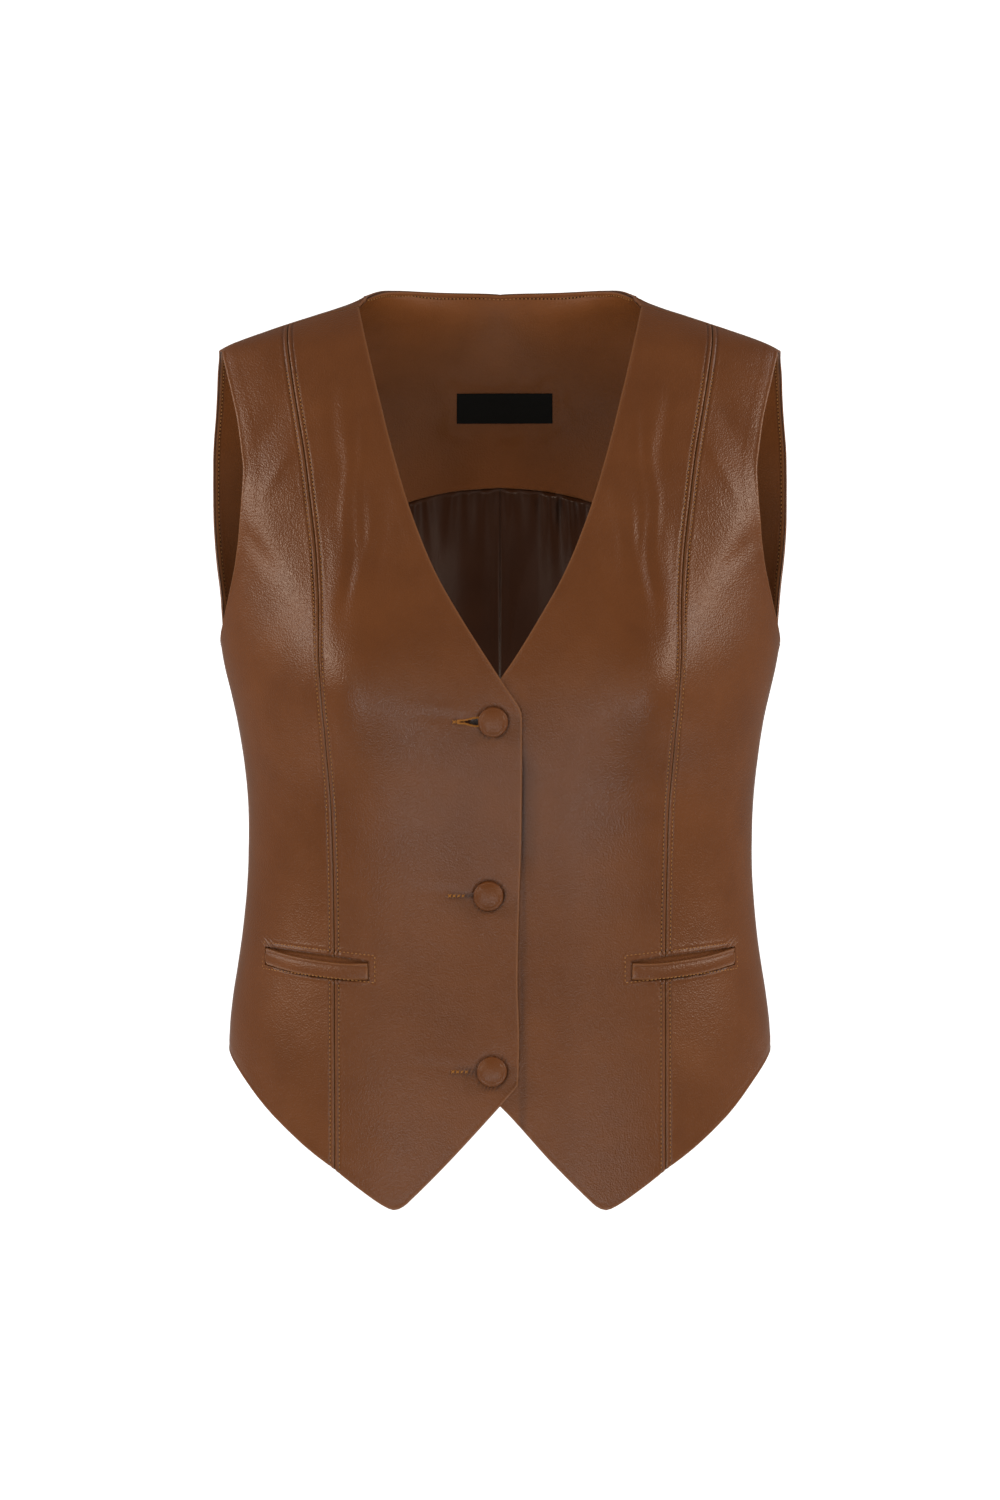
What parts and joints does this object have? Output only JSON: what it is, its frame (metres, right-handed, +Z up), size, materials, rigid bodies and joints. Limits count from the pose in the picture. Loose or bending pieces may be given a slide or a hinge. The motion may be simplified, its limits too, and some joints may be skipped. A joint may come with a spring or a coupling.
{
  "type": "leather vest",
  "caption": "Fitted V-neck leather waistcoat with covered buttons, princess seams, welt pockets and a pointed front hem, hollow as worn.",
  "frame": {"origin": "midway between the two neck points of the shoulders, at their height, where the wearer's shoulders carry the garment", "axes": "+Z up, +X to the wearer's left (the viewer's right), the fronts face -Y"},
  "size_m": [0.3676, 0.2175, 0.572],
  "materials": {
    "leather": "smooth faux leather, fine grain, satin",
    "facing_leather": "the same leather, inside facing",
    "button_leather": "leather-covered button",
    "lining": "dark brown satin lining",
    "label": "black woven label, bare"
  },
  "bodies": {
    "root": {"front_centre_right": "leather", "front_centre_left": "leather", "front_side_right": "leather", "front_side_left": "leather", "back_right": "leather", "back_left": "leather", "back_facing": "facing_leather", "back_lining_right": "lining", "back_lining_left": "lining", "neck_label": "label", "pocket_welt_right": "leather", "pocket_welt_left": "leather", "pocket_facing_right": "facing_leather", "pocket_facing_left": "facing_leather", "button_top": "button_leather", "button_middle": "button_leather", "button_bottom": "button_leather"}
  },
  "joints": []
}
